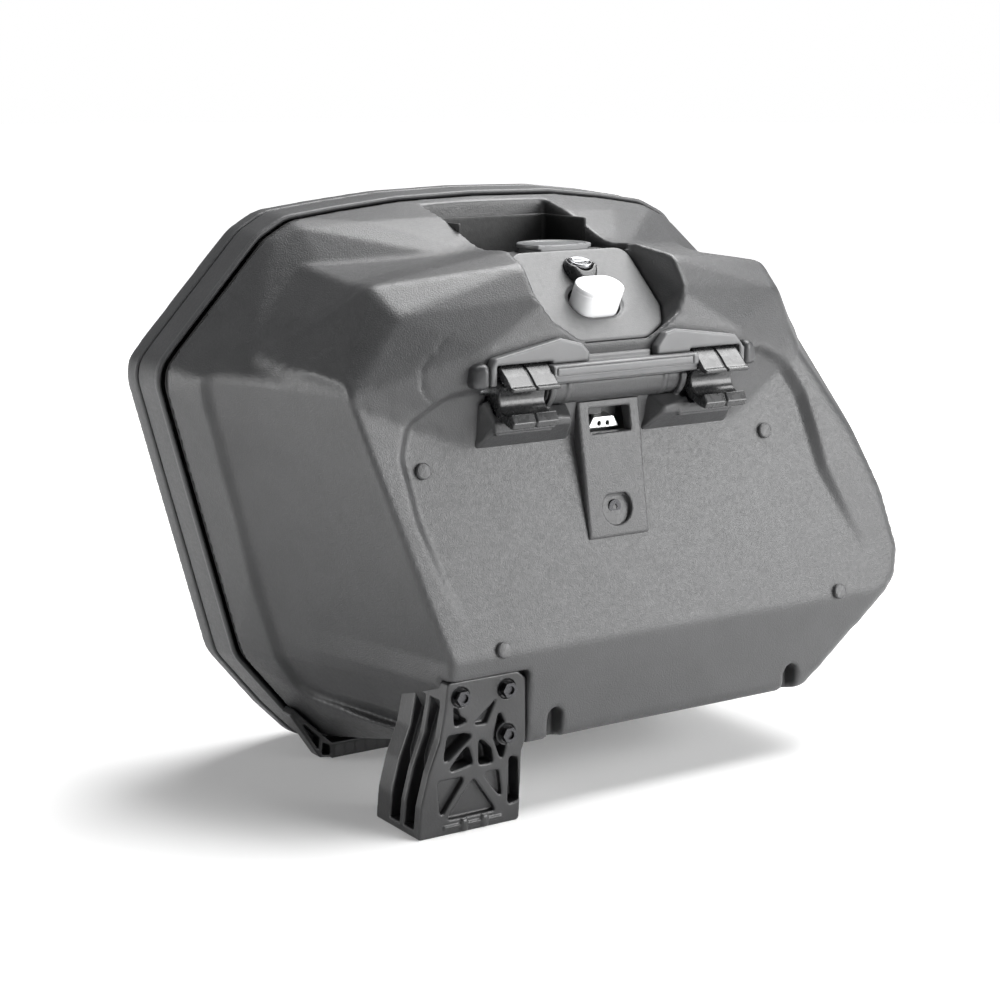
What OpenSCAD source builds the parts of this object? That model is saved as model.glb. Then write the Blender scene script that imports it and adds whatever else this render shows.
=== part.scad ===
// Hard plastic motorcycle side case with a bottom-hinged lid, a top carry handle, a key lock with
// a release button, two clamping hooks on the bike side and a ribbed support foot.
// Millimetres. X runs along the case, -Y faces the bike, +Z is up, Z = 0 is the floor.

/* [Case] */
// Depth position of the parting plane between shell and lid
seal_y = 70; // [66:1:74]
// Depth of the lid behind the gasket
lid_depth = 61; // [55:1:64]
// Wall thickness of the moulded shells
wall = 3; // [2.5:0.5:4]
// Lean of the bike-side panel from vertical, in degrees
panel_lean = 15; // [12:0.5:16]
// Depth of the bike-side panel at its lower crease
panel_y = -131.6; // [-132:0.2:-130]
// Half width of the widest part of the lid
lid_hw = 262; // [258:1:264]
// Height of the top of the lid
lid_top = 409; // [406:1:412]

/* [Gasket] */
// Thickness of the gasket between shell and lid
gasket_t = 3; // [2:0.5:4]
// Width of the gasket
gasket_w = 6; // [5:1:8]

/* [Lid hinge] */
// Height of the hinge axis above the floor
hinge_z = 6; // [5.5:0.5:6.5]
// Radius of the hinge pin
hinge_pin_r = 2; // [1.5:0.25:2]
// Radius of the hinge knuckles
knuckle_r = 4.5; // [4:0.25:4.5]
// Length of each hinge knuckle
knuckle_len = 24; // [18:1:28]

/* [Lock and handle] */
// Half width of the lock cover
cover_hw = 49; // [44:1:52]
// Diameter of the key barrel
key_d = 17; // [15:0.5:18]
// Width of the release button
button_w = 38; // [34:1:40]
// Height of the release button
button_h = 24; // [22:1:26]
// Travel of the release button
button_travel = 6; // [4:0.5:7]
// Diameter of the plain disc on the handle
disc_d = 52; // [46:1:54]

/* [Hooks] */
// Distance of each hook from the middle of the case
hook_x = 79; // [76:1:82]
// Width of each hook
hook_w = 38; // [34:1:40]
// Radius of the throat that takes the rack tube
throat_r = 9; // [8:0.5:9.5]
// Radius of the shaft that carries the claws
shaft_r = 5; // [4:0.5:6]
// Half length of the trim plate
trim_hw = 105; // [102:1:107]

/* [Support foot] */
// Thickness of the mounting web
web_t = 4; // [3:0.5:5]
// Depth of the foot from front to back
foot_depth = 56; // [48:2:60]
// Clearance hole for its bolts
foot_bolt_d = 6.4; // [6:0.1:6.8]

/* [Hidden] */
$fn = 48;
gap = 0.3;
pin_play = 0.05;
crease_z = 117;
lean_t = tan(panel_lean);
function face_y(z) = panel_y + (z - crease_z) * lean_t;

// Outlines across the case, as [x, z], from the parting plane towards the bike
rim_line = [
    [0, 404], [68, 403], [114, 398], [152, 392], [175, 381], [236, 308], [251, 284], [253, 200],
    [250, 140], [205, 50], [165, 16], [135, 11], [-133, 11], [-163, 42], [-198, 85], [-233, 216],
    [-251, 284], [-249, 296], [-239, 308], [-173, 380], [-152, 392], [-112, 397], [-63, 402]
];
step_y = 12;
step_line = [
    [0, 371], [159, 361], [217, 306], [246, 262], [251, 205], [250, 140], [208, 62], [172, 30],
    [140, 25], [-122, 25], [-150, 46], [-178, 90], [-211, 193], [-226, 262], [-228, 288],
    [-214, 306], [-159, 361]
];
ridge_y = -50;
ridge_line = [
    [0, 358], [155, 350], [200, 300], [238, 240], [249, 190], [249, 140], [210, 80], [180, 46],
    [150, 37], [-105, 37], [-135, 60], [-160, 95], [-190, 193], [-202, 245], [-205, 285],
    [-195, 304], [-155, 350]
];
panel_line = [
    [0, 343], [142, 334], [164, 316], [193, 268], [219, 226], [239, 180], [248, 140], [243, 124],
    [235, 117], [-145, 117], [-148, 124], [-171, 196], [-185, 245], [-197, 290], [-148, 334]
];
skirt_line = [[235, 117], [161, 52], [-100, 52], [-128, 66], [-145, 100], [-145, 117]];
skirt_lean = 4;
// Raised middle that carries the handle and the hooks, right half as [x, y, z]
hump_points = [
    [60, 66, 400], [56, 22, 398], [56, 6, 396], [56, -29, 379], [64, -94, 366], [59, -108, 348],
    [45, -109, 326], [106, -106, 314], [112, -104, 296], [106, -97, 252], [155, -50, 350],
    [148, -71, 334], [159, step_y, 361]
];

// Lock cover: a plate that falls from the handle towards the bike
cover_top = [-50, 373];
cover_foot = [-108, 317];
cover_len = norm(cover_top - cover_foot);
cover_tilt = atan2(cover_top[1] - cover_foot[1], cover_top[0] - cover_foot[0]);
cover_t = 3;
button_at = 34;
button_rise = 12;
key_at = 61;
key_tilt = 17;
spring_len = 15;
spring_wire = 1.2;

// Hooks
shaft_y = -97;
shaft_z = 290;
tube_r = 15;
tube_hl = hook_x - hook_w / 2 - 2;
hub_r = 9;
throat_y = -122;
throat_z = 284;
trim_y = -111;
trim_t = 6;
bar_y = -122;
housing_in = 31;
housing_out = 106;
housing_z = 250;
channel_top = 280;
channel_foot = 182;
channel_hw = 26;
window_hw = 17;
screw_z = 202;
screw_bay_r = 12;
screw_seat_y = -107;
screw_head_t = 2.4;

// Support foot
foot_x = -92;
foot_top = 104;
foot_y = -127;
foot_bolt_at = [[-136, 93], [-100, 93], [-100, 62]];

module slab(points, y, t = 1, grow = 0) {
    translate([0, y, 0])
        rotate([90, 0, 0])
            linear_extrude(height = t)
                offset(delta = grow)
                    polygon(points);
}

module leaning_slab(points, grow = 0, drop = 0) {
    translate([0, panel_y, crease_z])
        rotate([-panel_lean, 0, 0])
            translate([0, 1 + drop, -crease_z])
                rotate([90, 0, 0])
                    linear_extrude(height = 1)
                        offset(delta = grow)
                            polygon(points);
}

// Outline of the lid: the rim line stretched to a half width and to a lowest and highest level
rim_hw = 253;
rim_foot = 11;
rim_top = 404;
function lid_line(hw, foot, top) = [
    for (p = rim_line)
        [p[0] * hw / rim_hw, foot + (p[1] - rim_foot) * (top - foot) / (rim_top - rim_foot)]
];

// Space behind the leaning panel's outer face, used to fit parts against that face
module behind_panel() {
    translate([0, panel_y - gap, crease_z])
        rotate([-panel_lean, 0, 0])
            translate([-300, 0, -300]) cube([600, 100, 600]);
}

// Both halves of a left-right symmetric set of points, as small cubes for hull()
module corner_marks(points, shift = [0, 0, 0]) {
    for (p = points, side = [-1, 1])
        translate([side * (p[0] + shift[0]), p[1] + shift[1], p[2] + shift[2]])
            cube(0.6, center = true);
}

// Outside form of the shell, or of its hollow when inset is positive
module shell_form(inset = 0) {
    hull() {
        slab(rim_line, seal_y + (inset > 0 ? 1 : 0), 2, -inset);
        slab(step_line, step_y, 1, -inset);
    }
    hull() {
        slab(step_line, step_y + 30, 1, -inset - 12);
        slab(step_line, step_y + 1, 1, -inset);
        slab(ridge_line, ridge_y, 1, -inset);
        leaning_slab(panel_line, -inset, inset);
        translate([0, panel_y, crease_z])
            rotate([skirt_lean, 0, 0])
                translate([0, 1 + inset, -crease_z])
                    rotate([90, 0, 0])
                        linear_extrude(height = 1)
                            offset(delta = -inset)
                                polygon(skirt_line);
    }
    hull() corner_marks(hump_points, [0, inset, -1.3 * inset]);
}

// Frame of the lock cover: X across, Y up its slope from the foot, Z out of it
module on_cover() {
    translate([0, cover_foot[0], cover_foot[1]])
        rotate([cover_tilt, 0, 0])
            children();
}

module cover_outline(grow = 0) {
    offset(r = grow)
        polygon([
            [-28, 0], [28, 0], [cover_hw - 4, 10], [cover_hw + 3, 26], [cover_hw, cover_len],
            [-cover_hw, cover_len], [-cover_hw - 3, 26], [-cover_hw + 4, 10]
        ]);
}

module button_outline(grow = 0) {
    hull()
        for (side = [-1, 1])
            translate([side * (button_w - button_h) / 2, 0])
                circle(d = button_h + 2 * grow);
}

// Space around the lock cover and the handle that is cut out of the shell
module lock_bay() {
    on_cover()
        translate([0, 0, -24])
            linear_extrude(height = 80)
                cover_outline(gap);
    hull() {
        translate([-54, -52, 371]) cube([108, 100, 40]);
        on_cover() translate([-62, 26, 0]) cube([124, 30, 50]);
    }
}

pocket = [[-52, 52], [-4, 55], [336, 394]];
module handle_pocket() {
    size = [for (r = pocket) r[1] - r[0]];
    color("#202122")
        translate([pocket[0][0], pocket[1][0], pocket[2][0]])
            difference() {
                translate([-wall, -wall, -wall])
                    cube([size[0] + 2 * wall, size[1] + 2 * wall, size[2] + wall - 4]);
                cube([size[0], size[1], size[2] + 20]);
            }
}

// Grip bar between the lock cover and the pocket that the fingers reach into
handle_front = -47.4;
handle_back = -7.4;
handle_top = 370;
module carry_handle() {
    depth = handle_back - handle_front;
    color("#343537")
        difference() {
            translate([-cover_hw, handle_front, handle_top - 30])
                cube([2 * cover_hw, depth, 30]);
            translate([-cover_hw + wall, handle_front - 1, handle_top - 31])
                cube([2 * (cover_hw - wall), depth + 1 - wall, 31 - wall]);
        }
}

// Step in the skirt that the support foot is bolted into
module foot_bay(grow = 0) {
    translate([-172 - grow, -140, -1]) cube([88 + 2 * grow, 22 + grow, foot_top + 1 + grow]);
}

module inner_shell() {
    color("#3a3b3d")
        difference() {
            shell_form();
            difference() {
                shell_form(wall);
                foot_bay(gap + wall);
            }
            foot_bay(gap);
            lock_bay();
            for (side = [-1, 1]) housing_block(side, gap);
            translate([0, -125, screw_z]) rotate([-90, 0, 0]) cylinder(r = screw_bay_r + 3 + gap, h = 30);
            translate([pocket[0][0] - wall - gap, pocket[1][0] - wall - gap - 44, 338])
                cube([104 + 2 * (wall + gap), 59 + 2 * (wall + gap) + 44, 90]);
            for (side = [-1, 1])
                translate([side * 82 - 25.4, -140, housing_z + 6])
                    cube([50.8, 140 - 82, 318 - housing_z - 6]);
            translate([-tube_hl - 14, -140, shaft_z - tube_r - 1])
                cube([2 * tube_hl + 28, 140 - 80, 318 - shaft_z + tube_r + 1]);
            translate([-channel_hw - gap, -140, 246])
                cube([2 * (channel_hw + gap), 60, 44]);
            translate([-48, -140, 250.5]) cube([96, 45.2, 26]);
            for (x = [-61, 146])
                translate([x, -140, 50])
                    rotate([-90, 0, 0]) {
                        translate([-6, -18, 0]) cube([12, 30, 25]);
                        translate([0, -18, 0]) cylinder(r = 6, h = 25);
                    }
        }
}

module gasket() {
    color("#141415")
        difference() {
            slab(rim_line, seal_y + gasket_t, gasket_t, -1);
            slab(rim_line, seal_y + gasket_t + 1, gasket_t + 2, -1 - gasket_w);
        }
}

hinge_y = seal_y + 1;
knuckle_x = [-100, 0, 100];
module knuckle(x) {
    translate([x, hinge_y, hinge_z])
        rotate([0, 90, 0])
            difference() {
                cylinder(r = knuckle_r, h = knuckle_len);
                translate([0, 0, -1]) cylinder(r = hinge_pin_r + pin_play, h = knuckle_len + 2);
            }
}

module hinge_rail() {
    color("#2b2c2e") {
        difference() {
            union() {
                translate([-133, seal_y - 14, 0]) cube([266, 12.4, 10.5]);
                for (x = knuckle_x)
                    translate([x - knuckle_len, seal_y - 3, 3]) cube([knuckle_len, 1.8, 6]);
            }
            for (x = [-129:12:121])
                translate([x, seal_y - 12, -1]) cube([9, 9, 9]);
            for (x = knuckle_x)
                translate([x - knuckle_len - gap, hinge_y, hinge_z])
                    rotate([0, 90, 0]) {
                        cylinder(r = hinge_pin_r + gap, h = knuckle_len + gap);
                        translate([0, 0, knuckle_len + gap])
                            cylinder(r = knuckle_r + gap, h = knuckle_len + 3 * gap);
                    }
        }
        for (x = knuckle_x) knuckle(x - knuckle_len);
    }
}

module hinge_pin() {
    color("silver")
        translate([-knuckle_len - 104, hinge_y, hinge_z])
            rotate([0, 90, 0])
                cylinder(r = hinge_pin_r, h = 2 * knuckle_len + 208);
}

lid_y = seal_y + gasket_t + gap;
lid_split_y = lid_y + 27;
lid_back_y = lid_y + lid_depth;
module lid_frame() {
    color("#353638")
        difference() {
            hull() {
                slab(lid_line(lid_hw - 5, 8, lid_top - 2), lid_y + 1);
                slab(lid_line(lid_hw - 2, 4, lid_top), lid_split_y);
            }
            hull() {
                slab(lid_line(lid_hw - 5, 8, lid_top - 2), lid_y, 1, -wall);
                slab(lid_line(lid_hw - 2, 4, lid_top), lid_split_y + 1, 1, -wall);
            }
            for (x = knuckle_x)
                translate([x - knuckle_len - 1, lid_y - 2, -3]) cube([2 * knuckle_len + 2, 17, 22]);
        }
}

module lid_cover() {
    color("#3a3b3d")
        difference() {
            hull() {
                slab(lid_line(lid_hw - 2, 4, lid_top), lid_split_y + gap + 1);
                slab(lid_line(lid_hw, 3, lid_top), lid_back_y - 16);
                slab(lid_line(lid_hw - 24, 27, lid_top - 20), lid_back_y);
            }
            hull() {
                slab(lid_line(lid_hw - 2, 4, lid_top), lid_split_y + gap, 1, -wall);
                slab(lid_line(lid_hw, 3, lid_top), lid_back_y - 16 - wall / 2, 1, -wall);
                slab(lid_line(lid_hw - 24, 27, lid_top - 20), lid_back_y - wall, 1, -wall);
            }
        }
}

module lid_foot() {
    color("#202122")
        for (side = [-1, 1])
            translate([side * 90 - 30, lid_split_y + 3, 0])
                difference() {
                    cube([60, 16, 2.7]);
                    for (i = [0:4]) translate([4 + 11 * i, 4, -1]) cube([8, 8, 2.5]);
                }
}

module lid_hinge_leaf() {
    color("#2b2c2e")
        for (x = knuckle_x)
            difference() {
                union() {
                    knuckle(x + gap);
                    translate([x + gap, hinge_y + 3, hinge_z - 4])
                        cube([knuckle_len, 14, 7]);
                    translate([x + gap, hinge_y + 11, hinge_z - 4])
                        cube([knuckle_len, 6, 12]);
                }
                translate([x - 1, hinge_y, hinge_z])
                    rotate([0, 90, 0])
                        cylinder(r = hinge_pin_r + pin_play, h = knuckle_len + 2);
            }
}

latch_y = 64;
latch_z = 380;
module lid_latch() {
    color("#2b2c2e")
        translate([-20, 0, 0])
            rotate([90, 0, 90])
                difference() {
                    linear_extrude(height = 40)
                        union() {
                            translate([latch_y, latch_z]) circle(r = 3);
                            polygon([
                                [latch_y - 2.5, latch_z - 14], [latch_y + 2, latch_z - 14],
                                [latch_y + 3, latch_z], [latch_y + 3, latch_z + 6],
                                [seal_y + 9, latch_z + 6], [seal_y + 9, latch_z + 4],
                                [seal_y + 12, latch_z + 4], [seal_y + 12, latch_z + 9],
                                [latch_y - 2.5, latch_z + 9]
                            ]);
                        }
                    translate([latch_y, latch_z, -1]) cylinder(r = 1.2, h = 50);
                }
}

module lid_striker() {
    color("#8b8e92")
        translate([-16, seal_y + 6.5, latch_z - 8]) {
            cube([32, 2, 11.6]);
            cube([32, 8, 2]);
            translate([0, 6, 0]) cube([32, 2, 28]);
        }
}

module lock_cover() {
    color("#343537")
        difference() {
            on_cover()
                translate([0, 0, -cover_t])
                    linear_extrude(height = cover_t) cover_outline();
            on_cover()
                translate([0, button_at, -20])
                    linear_extrude(height = 40) button_outline(1);
            on_cover()
                translate([0, key_at, 0])
                    rotate([key_tilt - cover_tilt, 0, 0])
                        translate([0, 0, -30]) cylinder(d = key_d + 4, h = 60);
        }
}

module handle_disc() {
    color("#55585b")
        intersection() {
            translate([0, handle_back - 3 - disc_d / 2, handle_top]) cylinder(d = disc_d, h = 2.4);
            translate([-40, handle_front + 0.5, handle_top - 10]) cube([80, 50, 20]);
        }
}

module lock_boss() {
    color("#2b2c2e")
        on_cover()
            translate([0, key_at, 0])
                rotate([key_tilt - cover_tilt, 0, 0])
                    difference() {
                        translate([0, 0, -12]) cylinder(d = key_d + 3.6, h = 19);
                        translate([0, 0, -13]) cylinder(d = key_d - 3 + 2 * pin_play, h = 30);
                        translate([0, 0, 4]) cylinder(d = key_d + 1, h = 8);
                    }
}

module key_barrel() {
    color("silver")
        on_cover()
            translate([0, key_at, 0])
                rotate([key_tilt - cover_tilt, 0, 0])
                    difference() {
                        union() {
                            translate([0, 0, -11]) cylinder(d = key_d - 3, h = 15.5);
                            translate([0, 0, 4.3]) cylinder(d = key_d, h = 3.2);
                        }
                        translate([-4.5, -0.7, 0]) cube([9, 1.4, 12]);
                    }
}

module push_button() {
    color("white")
        on_cover()
            translate([0, button_at, 0]) {
                translate([0, 0, -button_travel - 1])
                    linear_extrude(height = button_travel + button_rise + 1) button_outline();
            }
}

// Compression spring behind the button, swept along a helix
module button_spring() {
    turns = 5;
    per_turn = 10;
    sides = 6;
    radius = 6;
    steps = turns * per_turn;
    function ring(i) = [
        for (k = [0:sides - 1])
            let (a = 360 * i / per_turn, b = 360 * k / sides, r = radius + spring_wire / 2 * cos(b))
                [r * cos(a), r * sin(a), spring_len * i / steps + spring_wire / 2 * sin(b)]
    ];
    points = [for (i = [0:steps]) each ring(i)];
    skin = [
        for (i = [0:steps - 1], k = [0:sides - 1])
            let (a = i * sides + k, b = i * sides + (k + 1) % sides)
                [a, a + sides, b + sides, b]
    ];
    ends = [
        [for (k = [0:sides - 1]) k],
        [for (k = [sides - 1:-1:0]) steps * sides + k]
    ];
    color("silver")
        on_cover()
            translate([0, button_at, -button_travel - 1 - spring_len - spring_wire])
                polyhedron(points, concat(skin, ends), convexity = 6);
}

// Extrudes a depth-height outline along X, centred on x
module profile(x, width) {
    translate([x - width / 2, 0, 0])
        rotate([90, 0, 90])
            linear_extrude(height = width)
                children();
}

module trim_outline() {
    polygon([
        [-30, 305], [-30, 316], [-45, 321], [-99, 314], [-trim_hw, 307], [-trim_hw, 294],
        [-100, 294], [-100, 307.5], [-57, 307.5], [-57, 291], [57, 291], [57, 307.5],
        [100, 307.5], [100, 294], [trim_hw, 294], [trim_hw, 307], [99, 314], [45, 321],
        [30, 316], [30, 305]
    ]);
}

module trim_plate() {
    color("#5c5f62")
        difference() {
            translate([0, trim_y, 0])
                rotate([90, 0, 0])
                    linear_extrude(height = trim_t) trim_outline();
            translate([-58, trim_y - trim_t - 1, 290]) cube([116, 4.6, 15]);
        }
}

module cross_bar() {
    color("#4b4d50")
        difference() {
            translate([-60, bar_y - 1, 293]) cube([120, 8.3, 12]);
            translate([-58, bar_y - 3, 297]) cube([116, 3.2, 7]);
        }
}

module plain_strip() {
    color("#6a6d70")
        translate([-57.7, bar_y - 1.4, 297.3]) cube([115.4, 1.5, 6.4]);
}

module shaft_tube() {
    color("#3a3b3d")
        translate([-tube_hl, shaft_y, shaft_z])
            rotate([0, 90, 0])
                difference() {
                    union() {
                        cylinder(r = tube_r, h = 2 * tube_hl);
                        translate([-10, 0, 0]) cube([20, 14, 2 * tube_hl]);
                    }
                    translate([0, 0, -1]) cylinder(r = shaft_r + 0.04, h = 2 * tube_hl + 2);
                    translate([-20, -30, -1]) cube([19, 17, 2 * tube_hl + 2]);
                }
}

module claw_shaft() {
    color("silver")
        translate([-104, shaft_y, shaft_z])
            rotate([0, 90, 0]) cylinder(r = shaft_r, h = 208);
}

module upper_jaw(x) {
    color("#232425") {
        profile(x, hook_w)
            polygon([
                [-82.3, 301], [-104, 301], [-113, 299.5], [-121, 297], [-127, 293], [-131, 291],
                [-131.5, 293], [-127, 298], [-121, 303.5], [-113, 306.5], [-82.3, 306.5]
            ]);
        for (from = [x - hook_w / 2, x + hook_w / 2 - 2.5])
            translate([from, shaft_y + hub_r + gap, 281]) cube([2.5, 5.6, 21]);
    }
}

module lower_claw(x) {
    color("#2d2e30")
        difference() {
            profile(x, hook_w - 2)
                difference() {
                    union() {
                        translate([shaft_y, shaft_z]) circle(r = hub_r);
                        polygon([
                            [-100, 297.5], [-112, 295.4], [-119, 294.4], [-119, 284], [-127.4, 276.4],
                            [-130, 269], [-128.5, 267], [-112, 270.5], [-97, 281.5]
                        ]);
                    }
                    translate([throat_y, throat_z]) circle(r = throat_r);
                }
            translate([x - hook_w, shaft_y, shaft_z])
                rotate([0, 90, 0]) cylinder(r = shaft_r, h = 2 * hook_w);
        }
}

module housing_block(side, grow = 0) {
    g = 2 * grow;
    outer = side * (housing_out + grow);
    inner = side * (housing_in - grow);
    hull() {
        for (x = [inner, outer - side * 6])
            translate([x, face_y(housing_z) + 0.5 - grow, housing_z - grow]) cube([0.5, 8 + g, 1 + g]);
        for (x = [inner + side * 14, outer - side * 8])
            translate([x, -114 - grow, 268]) cube([0.5, 24 + g, 2]);
        for (x = [side * (hook_x - hook_w / 2 - 4), outer])
            translate([x, -112 - grow, 286]) cube([0.5, 24 + g, 2 + grow]);
    }
}

module hook_housing(side) {
    color("#3a3b3d")
        difference() {
            housing_block(side);
            translate([side * hook_x - hook_w / 2 - 1, -140, 256])
                cube([hook_w + 2, 70, 40]);
            translate([-tube_hl - gap, shaft_y, shaft_z])
                rotate([0, 90, 0]) cylinder(r = tube_r + gap, h = 2 * tube_hl + 2 * gap);
            translate([-120, shaft_y, shaft_z])
                rotate([0, 90, 0]) cylinder(r = shaft_r + 0.04, h = 240);
            translate([-120, -120, shaft_z + 3]) cube([240, 40, 10]);
        }
}

module end_cap(side) {
    color("#2b2c2e")
        hull() {
            translate([side * (trim_hw + gap + 1) - 1, -118, 294.5]) cube([2, 12, 16.5]);
            translate([side * (trim_hw + 8) - 1, -115, 295.5]) cube([2, 9, 11.5]);
        }
}

module channel_cover() {
    top_y = -99.5;
    bottom_y = -116;
    color("#434548")
        difference() {
            union() {
                difference() {
                    hull() {
                        translate([-channel_hw, top_y, channel_top - 1])
                            cube([2 * channel_hw, 9, 1]);
                        translate([-channel_hw + 1, bottom_y, channel_foot])
                            cube([2 * channel_hw - 2, 4, 1]);
                    }
                    behind_panel();
                }
                translate([0, screw_seat_y - 2, screw_z])
                    rotate([-90, 0, 0]) cylinder(r = screw_bay_r + 3, h = 4.5);
            }
            translate([-window_hw, -130, 253]) cube([2 * window_hw, 60, 17]);
            translate([-tube_hl, shaft_y, shaft_z])
                rotate([0, 90, 0]) cylinder(r = tube_r + gap, h = 2 * tube_hl);
            translate([0, -130, screw_z]) rotate([-90, 0, 0]) cylinder(r = 3 + gap, h = 60);
            translate([0, screw_seat_y - 14, screw_z])
                rotate([-90, 0, 0]) cylinder(r = screw_bay_r, h = 14);
        }
}

module channel_screw() {
    color("silver")
        translate([0, screw_seat_y - screw_head_t - gap / 3, screw_z])
            rotate([-90, 0, 0])
                difference() {
                    union() {
                        cylinder(r = 5, h = screw_head_t);
                        cylinder(r = 3, h = 12);
                    }
                    translate([0, 0, -1]) cylinder(r = 2, h = screw_head_t + 0.2, $fn = 6);
                }
}

module catch_slider() {
    color("#1d1e1f")
        translate([-window_hw + 1, -88, 240]) cube([2 * window_hw - 2, 6, 36]);
}

module catch_tongue() {
    color("#c9ccce")
        translate([0, -88.3, 254.6])
            rotate([90, 0, 0])
                linear_extrude(height = 6.5)
                    difference() {
                        polygon([[-13, 0], [13, 0], [8, 8], [-8, 8]]);
                        for (x = [-3.5, 3.5]) translate([x, 2.8]) circle(r = 1.5);
                    }
}

module panel_pads() {
    color("#2b2c2e")
        for (p = [[-147, 240], [139, 240], [-105, 121], [187, 121]])
            translate([p[0], face_y(p[1]), p[1]])
                rotate([90 - panel_lean, 0, 0]) cylinder(d = 11, h = 2.6);
}

module foot_web() {
    difference() {
        polygon([
            [-147, foot_top], [foot_x, foot_top], [foot_x + 7, 52], [foot_x + 2, 0], [-169, 0],
            [-163, 40], [-153, 62], [-149, 84]
        ]);
        polygon([[-143, 78], [-130, 56], [-146, 60]]);
        polygon([[-110, 76], [-124, 54], [-114, 58]]);
        polygon([[-128, 44], [-146, 56], [-158, 20], [-154, 14]]);
        polygon([[-108, 48], [-120, 44], [-128, 20], [-112, 14]]);
        polygon([[-104, 40], [-94, 42], [-92, 12], [-102, 8]]);
        polygon([[-132, 38], [-148, 10], [-122, 8]]);
    }
}

module support_foot() {
    color("#1c1d1e")
        difference() {
            union() {
                translate([0, foot_y + web_t, 0])
                    rotate([90, 0, 0]) linear_extrude(height = web_t) foot_web();
                translate([-167, foot_y, 0]) cube([77, foot_depth, 4]);
                for (side = [0:2])
                    hull() {
                        translate([-166, foot_y + 14 + 19 * side, 0]) cube([20, 4, 2]);
                        translate([-146, foot_y + 12 + 16 * side, 88]) cube([16, 4, 4]);
                    }
                translate([-126, foot_y, 3]) cube([4, foot_depth, 44]);
                translate([-145, foot_y + web_t, 82]) cube([50, 5, 20]);
            }
            difference() {
                shell_form(-gap);
                foot_bay();
            }
            for (p = foot_bolt_at)
                translate([p[0], foot_y - 1, p[1]])
                    rotate([-90, 0, 0]) cylinder(d = foot_bolt_d, h = 12);
        }
}

module foot_bolts() {
    color("silver")
        for (p = foot_bolt_at)
            translate([p[0], foot_y - 3, p[1]])
                rotate([-90, 0, 0]) cylinder(d = 6, h = 12);
}

module foot_nuts() {
    color("#4b4d50")
        for (p = foot_bolt_at)
            translate([p[0], foot_y - 0.2, p[1]])
                rotate([90, 0, 0])
                    difference() {
                        cylinder(d = 11, h = 4.5, $fn = 6);
                        translate([0, 0, -1]) cylinder(d = 6, h = 9);
                    }
}

inner_shell();
handle_pocket();
carry_handle();
gasket();
hinge_rail();
hinge_pin();
lid_frame();
lid_cover();
lid_foot();
lid_hinge_leaf();
lid_striker();
lid_latch();
lock_cover();
handle_disc();
lock_boss();
key_barrel();
push_button();
button_spring();
trim_plate();
cross_bar();
plain_strip();
shaft_tube();
claw_shaft();
upper_jaw(-hook_x);  // upper_jaw_left
upper_jaw(hook_x);  // upper_jaw_right
lower_claw(-hook_x);  // lower_claw_left
lower_claw(hook_x);  // lower_claw_right
hook_housing(-1);  // hook_housing_left
hook_housing(1);  // hook_housing_right
end_cap(-1);  // end_cap_left
end_cap(1);  // end_cap_right
channel_cover();
catch_slider();
catch_tongue();
channel_screw();
panel_pads();
support_foot();
foot_bolts();
foot_nuts();
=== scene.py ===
"""Looks of a hard motorcycle side case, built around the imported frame.

Shapes are worked out in millimetres and turned into metres when a mesh is made. Moulded parts are
modelled as clay: a grid of signed distances that is joined, cut and rounded, then meshed.
"""

import math

import bmesh
import bpy
import numpy as np
import openvdb as vdb
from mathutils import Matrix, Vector


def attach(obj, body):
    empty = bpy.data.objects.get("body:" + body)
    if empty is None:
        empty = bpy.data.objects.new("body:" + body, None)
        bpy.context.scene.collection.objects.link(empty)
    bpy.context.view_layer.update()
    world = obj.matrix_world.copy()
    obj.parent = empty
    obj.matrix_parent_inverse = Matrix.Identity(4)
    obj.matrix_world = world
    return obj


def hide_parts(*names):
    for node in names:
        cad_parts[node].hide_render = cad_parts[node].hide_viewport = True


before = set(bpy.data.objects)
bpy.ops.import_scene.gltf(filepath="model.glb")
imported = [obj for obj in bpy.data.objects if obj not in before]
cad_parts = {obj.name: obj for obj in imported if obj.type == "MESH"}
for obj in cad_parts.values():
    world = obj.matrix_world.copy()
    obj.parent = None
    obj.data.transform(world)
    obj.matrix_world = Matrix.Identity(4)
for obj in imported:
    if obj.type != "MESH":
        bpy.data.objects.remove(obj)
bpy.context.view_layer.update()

MM = 0.001

# Driving dimensions of the case, in millimetres
SEAL_Y = 70.0
WALL = 3.0
LEAN = math.radians(15)
CREASE_Z = 117.0
PANEL_Y = -131.6
GASKET_T = 3.0
GASKET_W = 6.0
LID_Y = 73.3
LID_SPLIT_Y = 100.3
LID_BACK_Y = LID_Y + 61.0
LID_HW = 262.0
RIM_HW = 253.0
RIM_FOOT = 11.0
RIM_TOP = 404.0
CORNER_R = 30.0

# Outlines across the case, as (x, z), from the parting plane towards the bike
RIM = [
    (0, 404), (68, 403), (114, 398), (152, 392), (175, 381), (236, 308), (251, 284), (253, 200),
    (250, 140), (205, 50), (165, 16), (135, 11), (-133, 11), (-163, 42), (-198, 85), (-233, 216),
    (-251, 284), (-249, 296), (-239, 308), (-173, 380), (-152, 392), (-112, 397), (-63, 402),
]
STEP_Y = 12.0
STEP = [
    (0, 371), (156, 357), (217, 306), (246, 262), (251, 205), (250, 140), (208, 62), (172, 30),
    (140, 25), (-122, 25), (-150, 46), (-178, 90), (-211, 193), (-226, 262), (-228, 288),
    (-214, 306), (-156, 357),
]
RIDGE_Y = -50.0
RIDGE = [
    (0, 358), (155, 350), (200, 300), (238, 240), (249, 190), (249, 140), (210, 80), (180, 46),
    (150, 37), (-105, 37), (-135, 60), (-160, 95), (-190, 193), (-202, 245), (-205, 285),
    (-195, 304), (-155, 350),
]
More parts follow.
